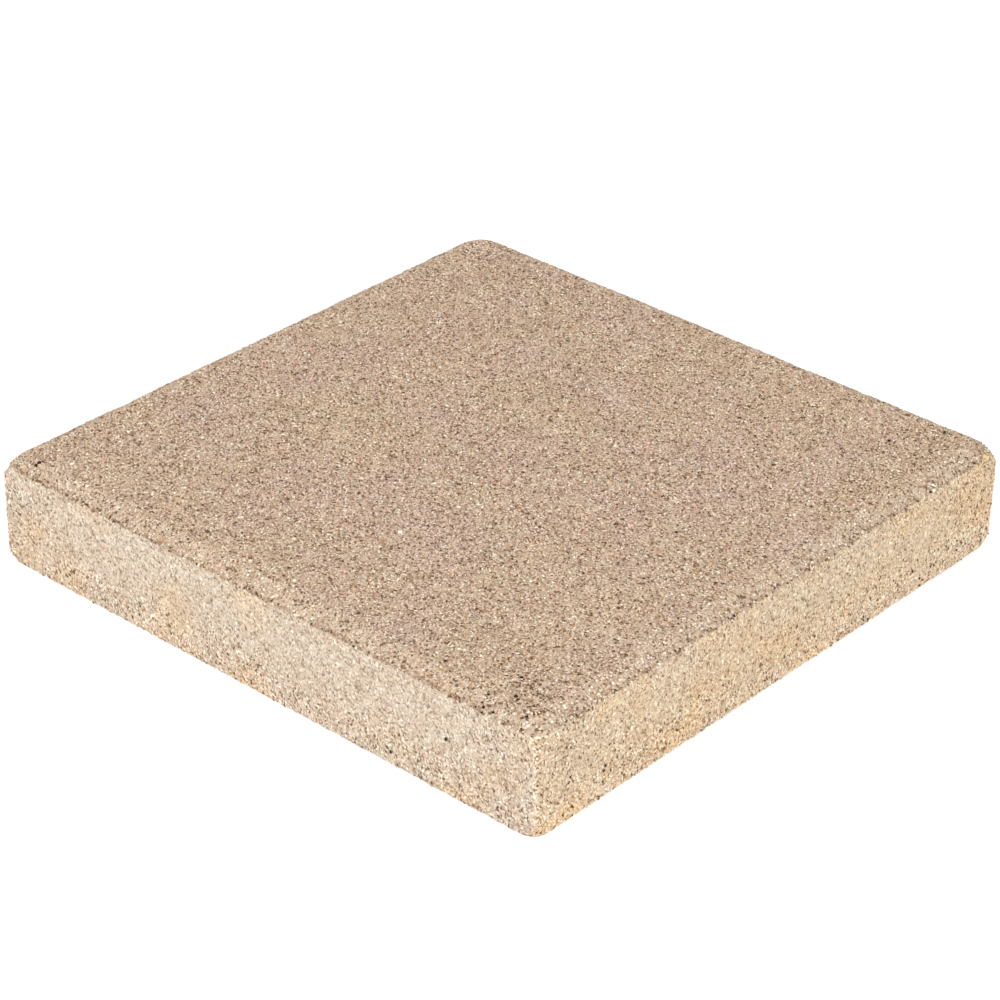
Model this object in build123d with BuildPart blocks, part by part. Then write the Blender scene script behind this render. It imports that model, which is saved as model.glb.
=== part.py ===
from build123d import *
import os

# Driving dimensions, in millimetres
side = 298.0  # plan size of the nominal 12 in square slab, with room left for its joint
thickness = 50.8  # underside to top face, 2 in
shoulder_width = 8.4  # level distance from the side to the crease round the top face
shoulder_drop = 4.4  # fall from the crease to the ridge, where the upright side begins
shoulder_bulge = 0.35  # how far the shoulder rolls out past a flat bevel
corner_radius = 3.2  # plan radius of the four upright corners
ridge_radius = 1.5  # rounding of the ridge
bottom_arris = 2.0  # rounding of the bottom edge
tip_radius = 12.0  # plan radius that each corner is blunted to at its tips, top and bottom
tip_reach = 9.0  # how far along a sharp upright corner the blunting would run out
tip_bulge = 0.9  # how far the blunted tip swells past a straight cone
tip_slope = 2.0  # level run of the worn corner for each mm that it rises above the ridge

# Sizes that follow from them
half_side = side / 2
ridge_height = thickness - shoulder_drop
crease_inset = half_side - shoulder_width
tip_run_out = tip_radius * 2**0.5  # distance from the tip's axis to a sharp upright corner
tip_axis_out = (half_side - tip_radius) * 2**0.5  # distance of that axis from the slab's centre
tip_rise = shoulder_drop * 1.1  # height to which the worn corner is cut, clear of the top face
quarter_turn = 90

# What blunts one corner at its lower tip: all that lies outside a bowl about an upright axis.
# The bowl is as wide as the tip's radius at the underside and opens until it clears the corner.
# Beyond the tip it closes at the tip's slope, which at the top wears the shoulder's mitre round
with BuildPart() as tip_cutter:
    with BuildSketch(Plane.XZ) as outside_bowl:
        with BuildLine():
            tip = Vector(tip_radius, 0)
            run_out = Vector(tip_run_out, tip_reach)
            bowl = SagittaArc(tip, run_out, -tip_bulge)
            Polyline(
                run_out,
                (2 * tip_run_out, tip_reach),
                (2 * tip_run_out, -tip_rise),
                (tip_radius - tip_slope * tip_rise, -tip_rise),
                tip,
            )
        make_face()
    revolve(axis=Axis.Z, revolution_arc=quarter_turn)

with BuildPart() as paving_slab:
    # The cast block: a square with slightly rounded upright corners
    with BuildSketch() as plan:
        RectangleRounded(side, side, corner_radius)
    extrude(amount=thickness)

    # What the shoulder takes off, as a section at the middle of the side that faces +X:
    # from the crease down a shallow roll to the ridge, then clear of the block.
    # It follows the square of the sides, so that it meets itself in a mitre at each corner
    with BuildLine(Plane.XY.offset(thickness)) as rim:
        Polyline(
            (half_side, 0),
            (half_side, half_side),
            (-half_side, half_side),
            (-half_side, -half_side),
            (half_side, -half_side),
            (half_side, 0),
        )
    with BuildSketch(Plane.XZ) as shoulder_section:
        with BuildLine():
            crease = Vector(crease_inset, thickness)
            ridge = Vector(half_side, ridge_height)
            roll = SagittaArc(crease, ridge, shoulder_bulge)
            Polyline(
                ridge,
                (half_side + shoulder_drop, ridge_height),
                (half_side + shoulder_drop, thickness + shoulder_drop),
                (crease_inset, thickness + shoulder_drop),
                crease,
            )
        make_face()
    sweep(sections=shoulder_section.sketch, path=rim.wire(), transition=Transition.RIGHT, mode=Mode.SUBTRACT)

    # The ridge, eased all the way round
    ridge_edges = paving_slab.edges().filter_by_position(Axis.Z, ridge_height - 0.01, ridge_height + 0.01)
    fillet(ridge_edges, ridge_radius)

    # The tips of the corners, blunted at the underside and, turned over, at the ridge
    with PolarLocations(tip_axis_out, 4, start_angle=quarter_turn / 2):
        add(tip_cutter.part, rotation=(0, 0, -quarter_turn / 2), mode=Mode.SUBTRACT)
    with Locations((0, 0, ridge_height)):
        with PolarLocations(tip_axis_out, 4, start_angle=quarter_turn / 2):
            add(tip_cutter.part, rotation=(2 * quarter_turn, 0, -quarter_turn / 2), mode=Mode.SUBTRACT)

    # The bottom edge, eased all the way round
    fillet(paving_slab.faces().sort_by(Axis.Z)[0].edges(), bottom_arris)

paving_slab.part.label = "paving_slab"

os.makedirs("parts", exist_ok=True)
export_step(paving_slab.part, "parts/paving_slab.step")
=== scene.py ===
import math

import bpy
import numpy as np
from mathutils import Matrix, Vector


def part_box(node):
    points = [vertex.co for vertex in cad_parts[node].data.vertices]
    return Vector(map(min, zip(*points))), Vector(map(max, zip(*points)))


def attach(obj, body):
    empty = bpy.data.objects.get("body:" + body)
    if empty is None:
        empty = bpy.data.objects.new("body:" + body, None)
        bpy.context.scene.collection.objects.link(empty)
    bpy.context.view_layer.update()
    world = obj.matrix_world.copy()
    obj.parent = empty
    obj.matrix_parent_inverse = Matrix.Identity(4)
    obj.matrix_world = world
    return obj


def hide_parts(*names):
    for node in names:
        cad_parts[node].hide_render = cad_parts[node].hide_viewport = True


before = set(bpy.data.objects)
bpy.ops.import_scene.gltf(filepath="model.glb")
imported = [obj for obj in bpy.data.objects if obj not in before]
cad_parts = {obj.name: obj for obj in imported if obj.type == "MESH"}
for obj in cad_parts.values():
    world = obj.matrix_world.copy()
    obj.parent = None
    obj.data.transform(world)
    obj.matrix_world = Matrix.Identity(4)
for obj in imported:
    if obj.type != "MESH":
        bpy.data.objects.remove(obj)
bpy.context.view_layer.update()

slabLow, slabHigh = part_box("paving_slab")
halfSide = (slabHigh[0] - slabLow[0]) / 2
slabTop = slabHigh[2]
print("frame loaded, slab", round(2 * halfSide, 4), "m square and", round(slabTop, 4), "m thick")


# camera: where the eye stands around the slab, and the point it looks at

eyeSetup = {
    "azimuth": 41.213,  # degrees round from the slab's front
    "elevation": 30.591,
    "roll": 1.103,
    "distance": 1.4401,  # metres from the aim point
    "aim": (-0.00836, 0.0072, 0.01848),
    "lens": 121.47,  # mm on a 36 mm sensor
}


def setUpEye(s):
    # the eye's own axes: back points from the aim to the eye, the others are turned about it by the roll
    az, el, roll = (math.radians(s[k]) for k in ("azimuth", "elevation", "roll"))
    back = Vector((math.sin(az) * math.cos(el), -math.cos(az) * math.cos(el), math.sin(el)))
    level = Vector((0, 0, 1)).cross(back).normalized()
    upright = back.cross(level)
    across = math.cos(roll) * level + math.sin(roll) * upright
    upward = math.cos(roll) * upright - math.sin(roll) * level
    lens = bpy.data.cameras.new("slab_camera")
    lens.lens = s["lens"]
    lens.sensor_width = 36
    eye = bpy.data.objects.new("slab_camera", lens)
    turn = Matrix((across, upward, back)).transposed().to_4x4()
    eye.matrix_world = Matrix.Translation(Vector(s["aim"]) + s["distance"] * back) @ turn
    bpy.context.collection.objects.link(eye)
    bpy.context.scene.camera = eye


setUpEye(eyeSetup)
print("camera placed")


# noise on arrays of points: a lattice of seeded random values, blended smoothly between its corners

latticeSize = 64


def latticeNoise(points, spacing, seed):
    # value noise in -1..1: the eight lattice values round each point, mixed by t*t*(3-2t) along each axis
    rng = np.random.default_rng(seed)
    lattice = rng.uniform(-1, 1, (latticeSize,) * 3)
    q = points / np.asarray(spacing)
    cell = np.floor(q).astype(int)
    t = q - cell
    t = t * t * (3 - 2 * t)
    cell %= latticeSize
    after = (cell + 1) % latticeSize
    total = np.zeros(len(points))
    for corner in range(8):
        ends = [after[:, a] if corner >> a & 1 else cell[:, a] for a in range(3)]
        share = np.prod([t[:, a] if corner >> a & 1 else 1 - t[:, a] for a in range(3)], axis=0)
        total += share * lattice[ends[0], ends[1], ends[2]]
    return total


def layeredNoise(points, spacing, seed, layers=3):
    # several sizes of lattice noise added up, each half as wide and half as strong as the one before
    total = np.zeros(len(points))
    for k in range(layers):
        total += latticeNoise(points, np.asarray(spacing) / 2**k, seed + k) / 2**k
    return total / (2 - 2.0 ** (1 - layers))


def ramp(x, low, high):
    # 0 below low, 1 above high, smooth between
    t = np.clip((x - low) / (high - low), 0, 1)
    return t * t * (3 - 2 * t)


# the slab's form, in metres: the section of the cast block and how its corners are blunted

slabForm = {
    "shoulderWidth": 0.0084,
    "shoulderDrop": 0.0044,
    "shoulderBulge": 0.00035,
    "cornerRadius": 0.0032,
    "ridgeRadius": 0.0015,
    "bottomArris": 0.002,
    "tipRadius": 0.012,
    "tipReach": 0.009,
    "tipBulge": 0.0008,
    "tipSlope": 2.0,
    "creaseCorner": 0.0016,  # smallest plan radius of the worn crease
    "tipFall": (1.17, 55.0),  # how the worn tips fall away past their radius: slope, and how fast it grows
}
ridgeHeight = slabTop - slabForm["shoulderDrop"]


def cornerRadiusAt(inset, height):
    # the plan radius that puts the corner of a ring on the worn tip. The worn surface stands at distance
    # d from the tip's axis: from the tip's radius it swells to where the sharp corner would be, along a
    # chord with a shallow parabola over it, and above the ridge it closes at the tip's slope
    f = slabForm
    root2 = math.sqrt(2)
    rise = np.clip(np.minimum(height, ridgeHeight - height) / f["tipReach"], 0, 1)
    d = f["tipRadius"] * (1 + (root2 - 1) * rise) + 4 * f["tipBulge"] * rise * (1 - rise)
    above = height > ridgeHeight
    d = np.where(above, f["tipRadius"] - f["tipSlope"] * (height - ridgeHeight), d)
    radius = ((f["tipRadius"] - inset) * root2 - d) / (root2 - 1)
    least = np.where(above, f["creaseCorner"], np.maximum(f["cornerRadius"] - inset, f["creaseCorner"]))
    return np.maximum(radius, least)


def outlineAt(share, half, radius):
    # points at shares of the way round a square of the given half width with rounded corners, and
    # their outward directions, counted from the middle of the side that faces +X
    straight = 2 * (half - radius)
    bend = radius * math.pi / 2
    quarter = straight + bend
    s = (share % 1) * 4 * quarter + straight / 2
    k = np.floor(s / quarter)
    along = s - k * quarter
    onStraight = along < straight
    turn = np.where(onStraight, 0, (along - straight) / np.maximum(radius, 1e-9))
    x = np.where(onStraight, half, half - radius + radius * np.cos(turn))
    y = np.where(onStraight, along - straight / 2, straight / 2 + radius * np.sin(turn))
    c, s2 = np.cos(k * math.pi / 2), np.sin(k * math.pi / 2)
    nx, ny = np.cos(turn), np.sin(turn)
    place = np.stack([c * x - s2 * y, s2 * x + c * y], axis=1)
    outward = np.stack([c * nx - s2 * ny, s2 * nx + c * ny], axis=1)
    return place, outward


# the slab's skin: rings carried round the outline, from the middle of the top face over the
# shoulder, down the side and in under the slab

skinSettings = {
    "ringPoints": 768,  # round the outline, a power of two times three
    "crowding": 0.6,  # how far they crowd to the corners
    "shoulderRings": 9,
    "ridgeRings": 3,
    "sideRings": 28,
    "arrisRings": 3,
    "topSpacing": 0.0021,
    "underSpacing": 0.0045,
    "ridgeEase": 0.9,  # how much of the ridge's radius the skin follows
    "paste": 0.00042,  # how deep the skin lies under the tops of the sand grains
    "darker": 0.12,  # how much the paste is darkened where the grain is open: painted shade in the gaps between the grains
    # each kind of relief: the size of its noise and how deep it goes
    "slowWave": (0.055, 0.00012),
    "grit": (0.0035, 0.00010),
    "pits": (0.0042, 0.0006),
    "openShoulder": (0.0052, 0.0003),
    "raggedRidge": (0.0065, 0.0005),
    "drag": ((0.0022, 0.0022, 0.03), 0.00018),
    "underWave": (0.009, 0.0002),
    "seed": 11,
}


def skinSection(s):
    # rows of (inset, height, outward, upward): a section of the slab from the crease outwards.
    # The shoulder is a parabola over its chord, the side a straight line, the ridge and arris are bends
    f = slabForm
    rows = []
    t = np.linspace(0, 1, s["shoulderRings"], endpoint=False)
    run = f["shoulderWidth"] - f["ridgeRadius"] * 0.45
    drop = f["shoulderDrop"] * run / f["shoulderWidth"]
    bulge = 4 * f["shoulderBulge"] * t * (1 - t)
    slope = f["shoulderDrop"] / f["shoulderWidth"]
    rows += [(f["shoulderWidth"] - run * a, slabTop - drop * a + b, slope, 1.0) for a, b in zip(t, bulge)]
    first = math.atan2(1, slope)
    for a in np.linspace(first, 0, s["ridgeRings"], endpoint=False):
        inset = f["ridgeRadius"] * (1 - math.cos(a)) * s["ridgeEase"]
        height = ridgeHeight - f["ridgeRadius"] * (1 - math.sin(a)) * s["ridgeEase"] + 0.0002
        rows.append((inset, height, math.cos(a), math.sin(a)))
    low, high = f["bottomArris"], ridgeHeight - f["ridgeRadius"] * 0.8
    rows += [(0.0, z, 1.0, 0.0) for z in np.linspace(high, low, s["sideRings"])]
    for a in np.linspace(0, math.pi / 2, s["arrisRings"] + 1)[1:]:
        inset = f["bottomArris"] * (1 - math.cos(a))
        rows.append((inset, f["bottomArris"] * (1 - math.sin(a)), math.cos(a), -math.sin(a)))
    return np.array(rows)


def insetRings(firstInset, height, count, spacing, upward):
    # rings that shrink towards the middle of a level face. The count halves when points crowd
    rings = []
    inset = firstInset
    while True:
        inset += spacing
        half = halfSide - inset
        if half < spacing * 0.6:
            break
        if 8 * half / count < spacing * 0.62 and count > 18:
            count //= 2
        rings.append((inset, height, 0.0, upward, count))
    return rings


def skinRings(s):
    # every ring in order, from near the middle of the top to near the middle of the underside
    section = [(*row, s["ringPoints"]) for row in skinSection(s)]
    top = insetRings(slabForm["shoulderWidth"], slabTop, s["ringPoints"] // 2, s["topSpacing"], 1.0)
    under = insetRings(slabForm["bottomArris"], 0.0, s["ringPoints"] // 4, s["underSpacing"], -1.0)
    return top[::-1] + section + under


def joinRings(counts):
    # quads between rings of one count, and fans of triangles where one ring has two or four times the
    # points of the next, then a fan round the middle point at either end
    starts = np.concatenate([[1], 1 + np.cumsum(counts)])
    quads, triangles = [], []
    for k in range(len(counts) - 1):
        a, b = counts[k], counts[k + 1]
        i = np.arange(min(a, b))
        n = len(i)
        if a == b:
            p, q = starts[k] + i, starts[k] + (i + 1) % n
            r, t = starts[k + 1] + (i + 1) % n, starts[k + 1] + i
            quads.append(np.stack([p, t, r, q], axis=1))
            continue
        few, many = (starts[k], starts[k + 1]) if a < b else (starts[k + 1], starts[k])
        step = max(a, b) // n
        here, there = few + i, few + (i + 1) % n
        for j in range(step):
            u, v = many + step * i + j, many + (step * i + j + 1) % (step * n)
            inner = here if j < step / 2 else there
            triangles.append(np.stack([inner, u, v] if a < b else [inner, v, u], axis=1))
        middle = many + step * i + (step + 1) // 2
        triangles.append(np.stack([here, middle, there] if a < b else [here, there, middle], axis=1))
    last = starts[-1]
    i = np.arange(counts[0])
    triangles.append(np.stack([np.zeros_like(i), 1 + i, 1 + (i + 1) % counts[0]], axis=1))
    i = np.arange(counts[-1])
    base = starts[-2]
    triangles.append(np.stack([np.full_like(i, last), base + (i + 1) % counts[-1], base + i], axis=1))
    return quads, triangles


def meshFrom(name, places, faceArrays, smooth=True):
    # one mesh from a vertex array and arrays of faces, each array with its own number of corners
    mesh = bpy.data.meshes.new(name)
    loops = np.concatenate([f.ravel() for f in faceArrays])
    sizes = np.concatenate([np.full(len(f), f.shape[1]) for f in faceArrays])
    mesh.vertices.add(len(places))
    mesh.vertices.foreach_set("co", places.astype(np.float32).ravel())
    mesh.loops.add(len(loops))
    mesh.loops.foreach_set("vertex_index", loops.astype(np.int32))
    mesh.polygons.add(len(sizes))
    mesh.polygons.foreach_set("loop_start", np.concatenate([[0], np.cumsum(sizes)[:-1]]).astype(np.int32))
    mesh.polygons.foreach_set("use_smooth", np.full(len(sizes), smooth))
    mesh.update(calc_edges=True)
    mesh.validate()
    piece = bpy.data.objects.new(name, mesh)
    bpy.context.collection.objects.link(piece)
    return piece


def skinPoints(s):
    # the skin before its relief: places, outward directions, and how far down the section each lies
    places, normals, counts = [], [], []
    for inset, height, outward, upward, count in skinRings(s):
        radius = float(cornerRadiusAt(inset, height)) if inset < 0.02 else slabForm["creaseCorner"]
        half = halfSide - inset
        share = np.arange(count) / count
        share += s["crowding"] / (8 * math.pi) * np.sin(8 * math.pi * share)
        ring, facing = outlineAt(share, half, min(radius, half * 0.5))
        places.append(np.column_stack([ring, np.full(count, height)]))
        normals.append(np.column_stack([facing * outward, np.full(count, upward)]))
        counts.append(count)
    places = np.concatenate([[[0, 0, slabTop]], *places, [[0, 0, 0]]])
    normals = np.concatenate([[[0, 0, 1]], *normals, [[0, 0, -1]]])
    normals = normals / np.linalg.norm(normals, axis=1, keepdims=True)
    return places, normals, counts


def skinRelief(p, n, s):
    # how deep each point is sunk: the paste's own depth, a slow wave over the face, grit, pits where a
    # fine noise passes a threshold, a ragged ridge and drag marks that run up and down the sides
    seed = s["seed"]
    width = slabForm["shoulderWidth"]
    edge = halfSide - np.maximum(np.abs(p[:, 0]), np.abs(p[:, 1]))
    onTop = ramp(n[:, 2], 0.5, 0.95)
    onSide = ramp(-np.abs(n[:, 2]), -0.6, -0.2)
    onShoulder = onTop * ramp(-edge, -width - 0.0008, -width + 0.0008)
    nearRidge = np.exp(-(((p[:, 2] - ridgeHeight) / 0.0016) ** 2)) * ramp(-edge, -0.004, -0.001)
    depth = np.full(len(p), s["paste"])
    size, deep = s["slowWave"]
    depth += deep * (1 + layeredNoise(p, size, seed)) * onTop
    size, deep = s["grit"]
    depth += deep * (1 + layeredNoise(p, size, seed + 5))
    size, deep = s["pits"]
    depth += deep * ramp(layeredNoise(p, size, seed + 9, 2), 0.5, 0.85)
    size, deep = s["openShoulder"]
    depth += onShoulder * deep * ramp(layeredNoise(p, size, seed + 14, 2), -0.1, 0.6)
    size, deep = s["raggedRidge"]
    depth += nearRidge * (0.0001 + deep * ramp(layeredNoise(p, size, seed + 21), -0.3, 0.7))
    size, deep = s["drag"]
    depth += onSide * deep * (1 + layeredNoise(p, size, seed + 31, 2))
    size, deep = s["underWave"]
    under = deep * (1 + latticeNoise(p, size, seed + 41)) * ramp(edge, 0.002, 0.02)
    return np.where(n[:, 2] < -0.9, under, depth)


toneSettings = {
    # colours as the eye sees them, 0 to 255
    "topPink": (213, 187, 166),
    "topTan": (214, 189, 162),
    "shoulder": (208, 187, 164),
    "ridge": (164, 132, 104),
    # leftSide and rightSide are one concrete: rightSide is written lighter, painted light that makes up for the lamps
    # lighting the front left face more than the front right
    "leftSide": (208, 191, 171),
    "rightSide": (218, 196, 168),
    "paste": (220, 206, 187),
    "brownSpecks": (196, 168, 146),
    "warmPatch": (1.05, 0.99, 0.9),  # what the warmer patches of the sides are multiplied by
    # sizes of the patches in metres
    "driftSize": 0.034,
    "shadeSize": 0.016,
    "wanderSize": 0.02,
    "warmSize": 0.022,
    "shade": 0.03,  # how much lighter or darker the shade makes the concrete
    "ridgeLine": (0.0006, 0.0004),  # how far above the ridge its brown line runs, and its half width
    "seed": 301,
}


def seen(colour):
    # a colour as seen, 0 to 255, made linear light
    c = np.asarray(colour) / 255
    return np.where(c <= 0.04045, c / 12.92, ((c + 0.055) / 1.055) ** 2.4)


def mixed(a, b, share):
    # colour a taken towards colour b by a share for each point
    return a + (b - a) * share[:, None]


def tonesAt(p, n, s):
    # the concrete's own colour and how open its grain is at each point. The top drifts between pink and
    # tan; the sides are cream paste above and more open below and by the corners; the shoulder is paler
    # than the top and the ridge is a browner broken line
    seed = s["seed"]
    f = slabForm
    edge = halfSide - np.maximum(np.abs(p[:, 0]), np.abs(p[:, 1]))
    corner = 2 * halfSide - np.abs(p[:, 0]) - np.abs(p[:, 1])
    up = p[:, 2] / ridgeHeight
    drift = layeredNoise(p, s["driftSize"], seed)
    shade = layeredNoise(p, s["shadeSize"], seed + 4)
    top = mixed(seen(s["topPink"]), seen(s["topTan"]), ramp(drift, -0.45, 0.45))
    facing = ramp(np.abs(n[:, 0]) - np.abs(n[:, 1]), -0.4, 0.4)
    # the faces across Y take leftSide, those across X rightSide: their difference is painted light and shade
    side = mixed(seen(s["leftSide"]), seen(s["rightSide"]), facing)
    side = mixed(side, side * s["warmPatch"], ramp(layeredNoise(p, s["warmSize"], seed + 20, 2), -0.15, 0.45))
    wander = layeredNoise(p * (1, 1, 1.6), s["wanderSize"], seed + 8)
    openBelow = ramp(0.52 - up + 0.22 * wander, 0.0, 0.35)
    openCorner = 0.55 * ramp(0.045 - corner + 0.01 * wander, 0.0, 0.03)
    sideOpen = np.maximum(openBelow, openCorner)
    side = mixed(side, seen(s["paste"]), 0.15 * (1 - sideOpen) * ramp(up, 0.35, 0.8))
    side = mixed(side, seen(s["brownSpecks"]), 0.08 * sideOpen)
    side *= (1 + 0.06 * sideOpen + 0.08 * facing * openBelow)[:, None]
    onSide = ramp(-n[:, 2], -0.75, -0.35)
    onShoulder = (1 - onSide) * ramp(-edge, -f["shoulderWidth"] - 0.0006, -f["shoulderWidth"] + 0.0006)
    tone = mixed(top, seen(s["shoulder"]), onShoulder * ramp(wander, -1.2, 0.2))
    tone = mixed(tone, side, onSide)
    ragged = 0.0005 * layeredNoise(p, 0.004, seed + 12)
    above, halfWidth = s["ridgeLine"]
    atRidge = np.exp(-(((p[:, 2] - ridgeHeight - above + ragged) / halfWidth) ** 2)) * ramp(-edge, -0.0035, -0.0015)
    atRidge *= 1 - 0.45 * facing
    broken = ramp(layeredNoise(p, 0.0035, seed + 16), -0.35, 0.35)
    tone = mixed(tone, seen(s["ridge"]), 0.9 * atRidge * broken)
    tone *= (1 + s["shade"] * shade)[:, None]
    grit = (1 - onSide) * (1 - 0.12 * onShoulder) + onSide * (0.68 + 0.12 * facing + 0.3 * sideOpen)
    return tone, np.clip(grit + 0.3 * atRidge, 0, 1.4)


def keepOnPoints(mesh, name, values):
    # one value or one colour a point, for the material to read
    if values.ndim == 1:
        mesh.attributes.new(name, "FLOAT", "POINT").data.foreach_set("value", values.astype(np.float32))
    else:
        rgba = np.column_stack([values, np.ones(len(values))])
        mesh.attributes.new(name, "FLOAT_COLOR", "POINT").data.foreach_set("color", rgba.astype(np.float32).ravel())


def makeSkin(s):
    # the paste: each point of the rings moved inwards along its direction by the depth of the relief
    places, normals, counts = skinPoints(s)
    depth = skinRelief(places, normals, s)
    sunk = places - normals * depth[:, None]
    quads, triangles = joinRings(counts)
    piece = meshFrom("slab_skin", sunk, quads + triangles)
    tone, grit = tonesAt(places, normals, toneSettings)
    # the paste darkened by its grit: painted shade between the grains
    keepOnPoints(piece.data, "tone", tone * (1 - s["darker"] * np.clip(grit, 0, 1))[:, None])
    keepOnPoints(piece.data, "grit", grit)
    count = 2 * sum(len(q) for q in quads) + sum(len(t) for t in triangles)
    print("skin", len(sunk), "points", count, "triangles")
    return piece


slabSkin = makeSkin(skinSettings)
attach(slabSkin, "root")
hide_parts("paving_slab")


# sand: grains bedded in the paste, each a blunt lump of eight faces, joined into a few meshes

sandSettings = {
    # how many, usual width and its spread, widest, how much of a grain stands out of the paste,
    # and how many times longer it is where the mould dragged it (0: not dragged)
    "coarse_top_sand": {
        "count": 6000, "width": 0.0015, "spread": 0.2, "widest": 0.0026, "proud": 0.55, "drag": 0, "seed": 71,
    },
    "middle_top_sand": {
        "count": 24600, "width": 0.00112, "spread": 0.18, "widest": 0.002, "proud": 0.62, "drag": 0, "seed": 72,
    },
    "fine_top_sand": {
        "count": 24900, "width": 0.0009, "spread": 0.15, "widest": 0.0016, "proud": 0.7, "drag": 0, "seed": 73,
    },
    "shoulder_sand": {
        "count": 12500, "width": 0.00115, "spread": 0.25, "widest": 0.0024, "proud": 0.66, "drag": 0, "seed": 74,
    },
    "side_sand": {
        "count": 20000, "width": 0.00115, "spread": 0.2, "widest": 0.002, "proud": 0.45, "drag": 1.5, "seed": 75,
    },
    "fine_side_sand": {
        "count": 20000, "width": 0.0009, "spread": 0.15, "widest": 0.0016, "proud": 0.5, "drag": 1.5, "seed": 76,
    },
}
grainTones = [
    # share of the grains, and their colour against the concrete round them
    (0.30, (1.00, 0.99, 0.98)),
    (0.24, (1.17, 1.24, 1.33)),
    (0.13, (0.84, 0.77, 0.71)),
    (0.07, (1.05, 0.94, 0.98)),
    (0.06, (0.65, 0.53, 0.42)),
    (0.06, (1.40, 1.60, 1.78)),
    (0.05, (1.06, 1.00, 0.80)),
    # dark grains, and hollows shown in painted shade
    (0.085, (0.31, 0.24, 0.19)),
    (0.005, (0.92, 0.66, 0.42)),
]
darkKind = 7  # the row above that dark grains take, and the hollows between grains, which are dark lumps of painted shade

grainSettings = {
    "lean": 0.5,  # how far a grain may lean off the normal
    "knobs": (0.78, 1.15),  # its corners' reach against its half widths
    "across": (0.7, 1),  # its half width across against the one along
    "through": (0.6, 0.9),
    "proudScatter": (-0.25, 0.2),
    "dragLean": (0.35, 0.4),  # lean of the dragged grains from upright, radians, and its scatter
    "slack": (0.00004, 0.00018),  # how far it keeps within the mould, metres
    "tintScatter": (0.94, 1.06),
    "greenScatter": 0.025,
    # how far the grains' tints spread from the concrete's tone, widened past their own colours: painted light and
    # shade, lit tops and shaded sides that the soft lamps don't give
    "contrastWithPaintedLight": 1.15,
    "darkPatch": (0.012, 0.06, 401),  # size, share of more dark grains and painted-shade hollows in it, seed
    "darkCorners": 0.03,  # share of more dark grains and painted-shade hollows by each corner
    "openCorner": (0.128, -0.136),  # x and y of the most open corner, the front one
    "darkOpenCorner": 0.1,
    "jitter": 0.45,  # how far a grain moves from the middle of its cell, in cells
    "shoulderAspect": 120.0,  # length of that strip against its width
    "sideAspect": 26.0,
}


def lumpShape():
    # the six corners and eight faces of an octahedron one unit in radius
    points = np.array([(1, 0, 0), (0, 1, 0), (-1, 0, 0), (0, -1, 0), (0, 0, 1), (0, 0, -1)], float)
    ring = np.arange(4)
    upper = np.stack([ring, (ring + 1) % 4, np.full(4, 4)], axis=1)
    lower = np.stack([(ring + 1) % 4, ring, np.full(4, 5)], axis=1)
    return points, np.concatenate([upper, lower])


def evenShares(count, aspect, jitter, rng):
    # pairs of shares in 0..1, one in each cell of a staggered grid and shifted at random inside it, so
    # that grains lie evenly but in no rows
    rows = int(math.sqrt(count / aspect))
    columns = count // rows
    i = np.arange(rows * columns)
    shift = rng.uniform(-jitter, jitter, (2, len(i)))
    across = (i % columns + 0.5 + 0.5 * (i // columns % 2) + shift[0]) / columns
    return across % 1, (i // columns + 0.5 + shift[1]) / rows


def scatterPlaces(name, count, g, rng):
    # where grains lie on the smooth block, spread evenly over the top, the shoulder or the sides
    f = slabForm
    if "top" in name:
        reach = halfSide - f["shoulderWidth"]
        xy = reach * (2 * np.column_stack(evenShares(count, 1.0, g["jitter"], rng)) - 1)
        return np.column_stack([xy, np.full(len(xy), slabTop)]), np.tile([0.0, 0.0, 1.0], (len(xy), 1))
    aspect = g["shoulderAspect"] if "shoulder" in name else g["sideAspect"]
    share, t = evenShares(count, aspect, g["jitter"], rng)
    count = len(t)
    if "shoulder" in name:
        inset = f["shoulderWidth"] * (1 - t)
        height = slabTop - f["shoulderDrop"] * t + 4 * f["shoulderBulge"] * t * (1 - t)
        outward, upward = f["shoulderDrop"] / f["shoulderWidth"], 1.0
    else:
        outward, upward = 1.0, 0.0
        height = 0.0004 + (ridgeHeight - 0.001) * t**1.1
        below = np.maximum(f["bottomArris"] - height, 0)
        inset = f["bottomArris"] - np.sqrt(f["bottomArris"] ** 2 - below**2)
    ring, facing = outlineAt(share, halfSide - inset, cornerRadiusAt(inset, height))
    normals = np.column_stack([facing * outward, np.full(count, upward)])
    return np.column_stack([ring, height]), normals / np.linalg.norm(normals, axis=1, keepdims=True)


def roofAndGround(out):
    # the block's height and its underside at distances out from its middle planes: level, then the
    # shoulder's roll, and by the corners the worn tips, which fall away with the distance past their radius
    f = slabForm
    t = np.clip(1 - (halfSide - out.max(axis=-1)) / f["shoulderWidth"], 0, 1)
    roof = slabTop - f["shoulderDrop"] * t + 4 * f["shoulderBulge"] * t * (1 - t)
    past = np.hypot(*np.moveaxis(np.maximum(out - (halfSide - f["tipRadius"]), 0), -1, 0)) - f["tipRadius"]
    inTip = out.min(axis=-1) > halfSide - f["tipRadius"]
    slope, growth = f["tipFall"]
    under = np.where(past > 0, slope * past + growth * past**2, past / f["tipSlope"])
    return np.where(inTip, np.minimum(roof, ridgeHeight - under), roof), np.where(inTip, np.maximum(under, 0), 0)


def heldInside(points, slack):
    # no grain reaches past the mould: its corners are held within the sides, the roof and the ground
    points[..., :2] = np.clip(points[..., :2], slack[..., None] - halfSide, halfSide - slack[..., None])
    roof, ground = roofAndGround(np.abs(points[..., :2]))
    points[..., 2] = np.clip(points[..., 2], ground + slack, roof - slack)
    return points


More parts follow.
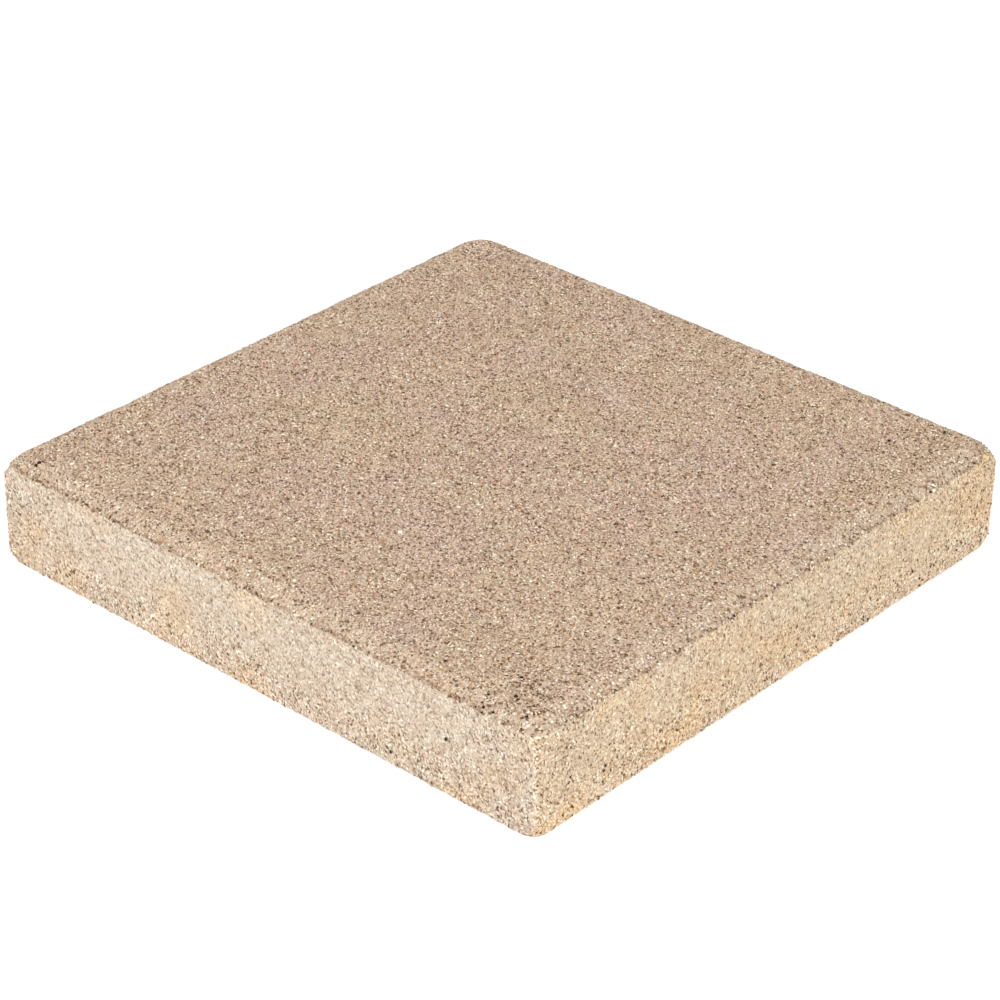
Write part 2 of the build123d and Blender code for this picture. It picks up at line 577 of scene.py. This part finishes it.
def lumpsAt(places, normals, axes, spin, sunk, slack, s, rng):
    # the corners of one lump at each place: its long axis turned by the spin within the surface, its
    # short one leaning a little off the normal, its middle sunk under the surface
    shape, _ = lumpShape()
    count = len(places)
    flat = np.cross(normals, np.where(np.abs(normals[:, 2:]) > 0.5, [[0.8, 0.5, 0.3]], [[0, 0, 1]]))
    flat /= np.linalg.norm(flat, axis=1, keepdims=True)
    upright = normals + rng.uniform(-s["lean"], s["lean"], (count, 1)) * flat
    upright /= np.linalg.norm(upright, axis=1, keepdims=True)
    flat -= upright * np.sum(flat * upright, axis=1, keepdims=True)
    flat /= np.linalg.norm(flat, axis=1, keepdims=True)
    first = np.cos(spin)[:, None] * flat + np.sin(spin)[:, None] * np.cross(upright, flat)
    second = np.cross(upright, first)
    knobs = shape[None] * rng.uniform(*s["knobs"], (count, len(shape), 1))
    points = (places - normals * sunk[:, None])[:, None] + sum(
        (knobs[:, :, k] * axes[:, k : k + 1])[..., None] * direction[:, None]
        for k, direction in enumerate((first, second, upright))
    )
    return heldInside(points, np.repeat(rng.uniform(*slack, (count, 1)), len(shape), axis=1))


def joinLumps(name, points, colours):
    # all the lumps as one mesh that rides the slab, each with its colour and its own square of the map
    _, faces = lumpShape()
    count, corners = points.shape[:2]
    triangles = (faces[None] + (np.arange(count) * corners)[:, None, None]).reshape(-1, 3)
    piece = meshFrom(name, points.reshape(-1, 3), [triangles], smooth=False)
    keepOnPoints(piece.data, "tone", np.repeat(np.clip(colours, 0, 0.92), corners, axis=0))
    gridMap(piece.data, count, len(faces) * 3)
    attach(piece, "root")
    print(name, count, "grains", len(triangles), "triangles")
    return piece


def makeSand(name, s, g):
    # one kind of sand: places on the smooth block, lumps of random size and lean there, and their colours
    rng = np.random.default_rng(s["seed"])
    places, normals = scatterPlaces(name, s["count"], g, rng)
    count = len(places)
    # half widths are log-normal; a grain is narrower across and thinner still through
    half = 0.5 * s["width"] * np.exp(s["spread"] * rng.standard_normal(count))
    half = np.minimum(half, s["widest"] / 2)
    across, through = rng.uniform(*g["across"], count), rng.uniform(*g["through"], count)
    axes = half[:, None] * np.column_stack([np.ones(count), across, through])
    spin = rng.uniform(0, 2 * math.pi, count)
    if s["drag"]:
        # grains that the mould dragged as it lifted: longer, and nearly upright
        axes[:, 0] *= s["drag"]
        lean, scatter = g["dragLean"]
        spin = math.pi / 2 + lean + scatter * rng.standard_normal(count)
    depth = skinRelief(places, normals, skinSettings)
    rise = s["proud"] + rng.uniform(*g["proudScatter"], count)
    sunk = depth + axes[:, 2] * (1 - 2 * rise)
    points = lumpsAt(places, normals, axes, spin, sunk, g["slack"], g, rng)
    tone, grit = tonesAt(places, normals, toneSettings)
    pick = rng.choice(len(grainTones), count, p=[share for share, _ in grainTones])
    # dark grains, and hollows shown as dark lumps of painted shade, gather in some places, and by the top's corners,
    # most of all the front one
    corner = 2 * halfSide - np.abs(places[:, 0]) - np.abs(places[:, 1])
    patchSize, patchShare, patchSeed = g["darkPatch"]
    gather = patchShare * ramp(layeredNoise(places, patchSize, patchSeed), 0.25, 0.8)
    nearest = np.hypot(places[:, 0] - g["openCorner"][0], places[:, 1] - g["openCorner"][1])
    byCorner = g["darkCorners"] * ramp(0.05 - corner, 0.0, 0.03)
    byCorner += g["darkOpenCorner"] * ramp(-nearest, -0.026, -0.006)
    gather += byCorner * (places[:, 2] > ridgeHeight + 0.0008)
    pick = np.where(rng.uniform(0, 1, count) < gather, darkKind, pick)
    tint = np.array([colour for _, colour in grainTones])[pick] * rng.uniform(*g["tintScatter"], (count, 1))
    tint[:, 1] *= 1 + g["greenScatter"] * rng.standard_normal(count)
    # the tints' spread, widened as painted light and shade on the grains
    tint = 1 + (tint - 1) * g["contrastWithPaintedLight"] * np.clip(grit, 0.5, 1.1)[:, None]
    return joinLumps(name, points, tone * tint)


def gridMap(mesh, count, corners):
    # a map with one small square for each grain, so that each keeps one colour of its own
    across = math.ceil(math.sqrt(count))
    cell = np.arange(count)
    u, v = (cell % across + 0.5) / across, (cell // across + 0.5) / across
    turn = np.tile([0, 2 * math.pi / 3, 4 * math.pi / 3], corners // 3)
    reach = 0.38 / across
    uv = np.stack([u[:, None] + reach * np.cos(turn), v[:, None] + reach * np.sin(turn)], axis=2)
    layer = mesh.uv_layers.new(name="OFBake")
    layer.uv.foreach_set("vector", uv.astype(np.float32).ravel())


sand = [makeSand(name, s, grainSettings) for name, s in sandSettings.items()]


# the few large grains that catch the eye, and open pits shown as dark lumps of painted shade, each where it lies on
# the slab

markSettings = {
    "white": (255, 246, 228),
    "gold": (200, 158, 98),
    "straw": (232, 200, 146),
    "rust": (176, 126, 96),
    # pit: painted shade, a near black lump where the shade in a small hollow would be
    "pit": (48, 31, 18),
    "across": (0.6, 0.9),  # its half width across against the one along
    "flatness": 0.5,
    "sunk": 0.2,  # share of its half thickness that its middle lies under the surface
    "slack": (0.00002, 0.00003),
    "seed": 91,
    # x, y, z in mm (z left out: on the upper surface), width, kind
    "marks": [
        (15, -80, None, 3.0, "white"), (-46, -19, None, 2.0, "white"), (-1, -42, None, 1.9, "white"),
        (106, 70, None, 2.4, "white"), (-124, -99, None, 2.2, "white"), (107, -72, None, 1.6, "white"),
        (76, -87, None, 1.6, "white"), (-42, 10, None, 1.6, "white"), (-82, -143, None, 2.0, "white"),
        (146.5, 102.7, None, 3.2, "white"), (148.6, 100.8, None, 3.4, "white"), (148.4, -78, None, 2.4, "white"),
        (14, -89, None, 3.4, "gold"), (12, -92, None, 2.0, "gold"), (-58, 138, None, 2.4, "rust"),
        (-51, 137, None, 2.2, "gold"), (-84, 137, None, 2.6, "rust"), (-139, 41, None, 2.2, "rust"),
        (147.8, 139, None, 3.8, "straw"), (147, 141.5, None, 2.8, "straw"), (148.9, 134, 44.5, 2.6, "straw"),
        (-132.2, -143.3, None, 2.6, "pit"), (-132, -141.6, None, 2.4, "pit"), (-131, -140.4, None, 1.6, "pit"),
        (118.7, -145.5, None, 1.7, "pit"), (120.3, -146.8, None, 2.0, "pit"), (125.2, -146.9, None, 1.8, "pit"),
        (127.3, -136.5, None, 2.4, "pit"), (129.4, -137.4, None, 1.8, "pit"), (137.9, -142.4, None, 2.0, "pit"),
        (115.5, -128.3, None, 2.0, "pit"), (120.5, -125.5, None, 2.2, "pit"), (91.6, -136.7, None, 2.4, "pit"),
        (118.3, -142, None, 1.6, "pit"), (136.5, -136.9, None, 1.6, "pit"), (148.4, 98.6, None, 2.2, "pit"),
        (103.5, -149, 26.2, 2.2, "pit"), (74.7, -149, 6.8, 2.4, "pit"), (-12, -149, 3.8, 2.4, "gold"),
        (149, -108.6, 15.2, 2.2, "pit"), (149, -109.6, 13.4, 1.8, "pit"), (149, -129, 20.3, 1.9, "pit"),
        (149, -130.2, 18.4, 1.6, "pit"), (149, -131.8, 35.5, 1.9, "pit"), (149, -123.7, 26.6, 1.8, "rust"),
        (149, -94, 15.8, 1.6, "pit"), (149, -106.7, 24, 1.8, "pit"), (2, -130, None, 1.8, "pit"),
        (94, -38, None, 2.2, "pit"), (114, 116, None, 2.2, "pit"), (53, 108, None, 2.0, "pit"),
        (96, -4, None, 1.9, "pit"), (148.3, -32, None, 1.8, "pit"), (127, 138, None, 2.4, "pit"),
    ],
}


def makeMarks(s):
    # each mark faces out of the side that it names a height on, and up where it names none
    rng = np.random.default_rng(s["seed"])
    plan = np.array([mark[:2] for mark in s["marks"]]) / 1000
    onSide = np.array([mark[2] is not None for mark in s["marks"]])
    height = np.array([mark[2] or 0 for mark in s["marks"]]) / 1000
    places = np.column_stack([plan, np.where(onSide, height, roofAndGround(np.abs(plan))[0])])
    largest = np.abs(plan) == np.abs(plan).max(axis=1, keepdims=True)
    normals = np.where(onSide[:, None], np.column_stack([np.sign(plan) * largest, 0 * height]), [[0.0, 0.0, 1.0]])
    half = np.array([mark[3] for mark in s["marks"]]) / 2000
    count = len(half)
    across = rng.uniform(*s["across"], count)
    axes = half[:, None] * np.column_stack([np.ones(count), across, np.full(count, s["flatness"])])
    spin = rng.uniform(0, 2 * math.pi, count)
    points = lumpsAt(places, normals, axes, spin, axes[:, 2] * s["sunk"], s["slack"], grainSettings, rng)
    return joinLumps("single_grains", points, np.array([seen(s[mark[4]]) for mark in s["marks"]]))


sand.append(makeMarks(markSettings))


# materials: concrete paste for the skin, and bare grains for the sand

concreteSettings = {
    "grainScale": 1050.0,  # cells a metre, so grains of about 1 mm
    "pitScale": 430.0,
    "dustScale": 2600.0,
    "bump": 0.00045,  # metres
    "roughness": (0.78, 0.97),
    "shine": 0.25,
    "dustShade": (0.84, 1.16),  # what the dust multiplies the colour by, between these two
    # the cell's random value, and the colour of that grain against the concrete round it
    "grainStops": [
        (0.0, (0.34, 0.24, 0.16)), (0.06, (0.38, 0.28, 0.20)), (0.10, (0.62, 0.53, 0.46)), (0.30, (0.82, 0.78, 0.75)),
        (0.50, (0.98, 0.97, 0.96)), (0.75, (1.15, 1.19, 1.22)), (0.88, (1.28, 1.36, 1.42)), (1.0, (1.55, 1.72, 1.82)),
    ],
    # the pits' colour: painted shade, the dark of a small hollow
    "paintedPitShade": (0.26, 0.17, 0.12),
    "pitReach": (0.16, 0.34),  # from the middle of its cell, in cells: where a pit is full and where it ends
    "pitPick": (0.78, 0.84),  # random values between which a cell begins to hold a pit
}
grainFinishSettings = {
    "dustScale": 2600.0,
    "roughness": (0.6, 0.9),
    "shine": 0.35,
    "dustShade": (0.88, 1.1),
}


def nodeOf(tree, kind, values=None, **options):
    # a new node with values on its sockets and options of its own
    node = tree.nodes.new(kind)
    for key, value in options.items():
        setattr(node, key, value)
    for key, value in (values or {}).items():
        node.inputs[key].default_value = value
    return node


def rampOf(tree, stops, source):
    # a source between 0 and 1 looked up on a colour ramp
    node = tree.nodes.new("ShaderNodeValToRGB")
    elements = node.color_ramp.elements
    for _ in range(len(stops) - 2):
        elements.new(0.5)
    for element, (place, colour) in zip(elements, stops):
        element.position = place
        element.color = (*colour, 1)
    tree.links.new(source, node.inputs[0])
    return node.outputs["Color"]


def multiplied(tree, a, b, share=None):
    # colour a times colour b, in full or by the share that a socket gives
    node = nodeOf(tree, "ShaderNodeMix", {0: 1.0}, data_type="RGBA", blend_type="MULTIPLY")
    if share is not None:
        tree.links.new(share, node.inputs[0])
    tree.links.new(a, node.inputs[6])
    tree.links.new(b, node.inputs[7])
    return node.outputs[2]


def maths(tree, operation, a, b):
    # two sockets put through one operation
    node = nodeOf(tree, "ShaderNodeMath", operation=operation)
    tree.links.new(a, node.inputs[0])
    tree.links.new(b, node.inputs[1])
    return node.outputs[0]


def grey(value):
    return (value, value, value)


def dusty(tree, colour, dust, shader, s):
    # the colour, a little darker or lighter where the dust is thin or thick
    thin, thick = s["dustShade"]
    shade = rampOf(tree, [(0.3, grey(thin)), (0.7, grey(thick))], dust.outputs["Fac"])
    tree.links.new(multiplied(tree, colour, shade), shader.inputs["Base Color"])


def matteBy(tree, dust, shader, s):
    # the roughness wanders with the dust between its two ends, and the shine is slight
    rough = nodeOf(tree, "ShaderNodeMapRange", {"To Min": s["roughness"][0], "To Max": s["roughness"][1]})
    tree.links.new(dust.outputs["Fac"], rough.inputs["Value"])
    tree.links.new(rough.outputs["Result"], shader.inputs["Roughness"])
    shader.inputs["Specular IOR Level"].default_value = s["shine"]


def concreteMaterial(s):
    # the skin's own tone, times fine grain, pits and dust, with the same three in its bump
    mat = bpy.data.materials.new("sandy_concrete")
    mat.use_nodes = True
    tree = mat.node_tree
    shader = tree.nodes["Principled BSDF"]
    place = tree.nodes.new("ShaderNodeTexCoord").outputs["Object"]
    tone = nodeOf(tree, "ShaderNodeAttribute", attribute_name="tone").outputs["Color"]
    grit = nodeOf(tree, "ShaderNodeAttribute", attribute_name="grit").outputs["Fac"]

    def cells(scale):
        node = nodeOf(tree, "ShaderNodeTexVoronoi", {"Scale": scale})
        tree.links.new(place, node.inputs["Vector"])
        return node

    # fine grain: each cell one grain, its colour drawn from the cell's random value
    fine = cells(s["grainScale"])
    draw = nodeOf(tree, "ShaderNodeSeparateColor")
    tree.links.new(fine.outputs["Color"], draw.inputs[0])
    colour = multiplied(tree, tone, rampOf(tree, s["grainStops"], draw.outputs[0]), grit)
    # pits: some of the larger cells hold a small hole, sunk in the bump and darkened in colour, the dark being
    # painted shade
    hole = cells(s["pitScale"])
    drawHole = nodeOf(tree, "ShaderNodeSeparateColor")
    tree.links.new(hole.outputs["Color"], drawHole.inputs[0])
    full, end = s["pitReach"]
    near = rampOf(tree, [(full, grey(1.0)), (end, grey(0.0))], hole.outputs["Distance"])
    first, last = s["pitPick"]
    chosen = rampOf(tree, [(0.0, grey(0.0)), (first, grey(0.0)), (last, grey(1.0))], drawHole.outputs[2])
    pit = maths(tree, "MULTIPLY", near, chosen)
    colour = multiplied(tree, colour, rampOf(tree, [(0.0, grey(1.0)), (1.0, s["paintedPitShade"])], pit), grit)
    # dust: the finest mottle
    dust = nodeOf(tree, "ShaderNodeTexNoise", {"Scale": s["dustScale"], "Detail": 2.0, "Roughness": 0.6})
    tree.links.new(place, dust.inputs["Vector"])
    dusty(tree, colour, dust, shader, s)

    height = maths(tree, "SUBTRACT", dust.outputs["Fac"], fine.outputs["Distance"])
    height = maths(tree, "SUBTRACT", height, pit)
    bump = nodeOf(tree, "ShaderNodeBump", {"Distance": s["bump"]})
    tree.links.new(height, bump.inputs["Height"])
    tree.links.new(grit, bump.inputs["Strength"])
    tree.links.new(bump.outputs["Normal"], shader.inputs["Normal"])
    matteBy(tree, dust, shader, s)
    return mat


def sandMaterial(s):
    # a grain's own tone with dust on it
    mat = bpy.data.materials.new("bare_sand_grain")
    mat.use_nodes = True
    tree = mat.node_tree
    shader = tree.nodes["Principled BSDF"]
    place = tree.nodes.new("ShaderNodeTexCoord").outputs["Object"]
    tone = nodeOf(tree, "ShaderNodeAttribute", attribute_name="tone").outputs["Color"]
    dust = nodeOf(tree, "ShaderNodeTexNoise", {"Scale": s["dustScale"], "Detail": 2.0})
    tree.links.new(place, dust.inputs["Vector"])
    dusty(tree, tone, dust, shader, s)
    matteBy(tree, dust, shader, s)
    return mat


slabSkin.data.materials.append(concreteMaterial(concreteSettings))
bareGrain = sandMaterial(grainFinishSettings)
for piece in sand:
    piece.data.materials.append(bareGrain)
print("materials made")


# floor, sky and lamps

studioSettings = {
    "floorRadius": 6.0,
    "floorWedges": 96,
    "floorColour": (0.8, 0.8, 0.8),
    "floorLift": (0.46, 0.96),  # white added for the camera alone, by the slab and far off
    "liftReach": (0.8, 3.6),  # how far from the slab's middle that white starts and stops to rise, metres
    "skyStrength": 0.26,
    "lamps": {
        # name: direction that the lamp shines from, distance, size, power in watts
        "left_window": ((-0.25, -0.95, 0.5), 2.5, 1.1, 47.0),
        "right_window": ((0.95, -0.25, 0.5), 2.5, 1.1, 47.0),
        "overhead": ((-0.2, 0.6, 1.0), 1.8, 1.2, 5.5),
    },
}


def makeFloor(s):
    # a round sheet under the slab, a fan of thin wedges
    count = s["floorWedges"]
    a = np.arange(count) * 2 * math.pi / count
    rim = np.column_stack([s["floorRadius"] * np.cos(a), s["floorRadius"] * np.sin(a), np.zeros(count)])
    places = np.concatenate([[[0, 0, 0]], rim])
    i = np.arange(count)
    fan = np.column_stack([np.zeros(count, int), 1 + i, 1 + (i + 1) % count])
    floor = meshFrom("studio_floor", places, [fan], smooth=False)
    mat = bpy.data.materials.new("studio_white")
    mat.use_nodes = True
    tree, links = mat.node_tree, mat.node_tree.links
    tree.nodes.clear()
    # plain white, and more white for the camera alone that rises with the distance from the slab
    diffuse = nodeOf(tree, "ShaderNodeBsdfDiffuse", {"Color": (*s["floorColour"], 1)})
    lift = nodeOf(tree, "ShaderNodeEmission")
    path = nodeOf(tree, "ShaderNodeLightPath")
    place = nodeOf(tree, "ShaderNodeTexCoord")
    away = nodeOf(tree, "ShaderNodeVectorMath", operation="LENGTH")
    ends = zip(("From Min", "From Max", "To Min", "To Max"), (*s["liftReach"], *s["floorLift"]))
    rise = nodeOf(tree, "ShaderNodeMapRange", dict(ends))
    both = nodeOf(tree, "ShaderNodeAddShader")
    out = nodeOf(tree, "ShaderNodeOutputMaterial")
    links.new(place.outputs["Object"], away.inputs[0])
    links.new(away.outputs["Value"], rise.inputs["Value"])
    amount = maths(tree, "MULTIPLY", path.outputs["Is Camera Ray"], rise.outputs["Result"])
    links.new(amount, lift.inputs["Strength"])
    links.new(diffuse.outputs[0], both.inputs[0])
    links.new(lift.outputs[0], both.inputs[1])
    links.new(both.outputs[0], out.inputs["Surface"])
    floor.data.materials.append(mat)
    return floor


def makeSky(s):
    # a dim even sky for the light, full white where the camera sees it
    world = bpy.data.worlds.new("studio_sky")
    bpy.context.scene.world = world
    world.use_nodes = True
    tree, links = world.node_tree, world.node_tree.links
    sky = tree.nodes["Background"]
    sky.inputs["Color"].default_value = (1, 1, 1, 1)
    path = nodeOf(tree, "ShaderNodeLightPath")
    pick = nodeOf(tree, "ShaderNodeMapRange", {"To Min": s["skyStrength"], "To Max": 1.0})
    links.new(path.outputs["Is Camera Ray"], pick.inputs["Value"])
    links.new(pick.outputs["Result"], sky.inputs["Strength"])


def makeLamps(s):
    # square lamps that face the slab's middle from their own directions
    for name, (way, distance, size, power) in s["lamps"].items():
        lamp = bpy.data.lights.new(name, "AREA")
        lamp.shape = "SQUARE"
        lamp.size = size
        lamp.energy = power
        holder = bpy.data.objects.new(name, lamp)
        way = Vector(way).normalized()
        holder.matrix_world = Matrix.Translation(way * distance) @ way.to_track_quat("Z", "Y").to_matrix().to_4x4()
        bpy.context.collection.objects.link(holder)


makeFloor(studioSettings)
makeSky(studioSettings)
makeLamps(studioSettings)
bpy.context.scene.view_settings.view_transform = "Standard"
print("studio set")
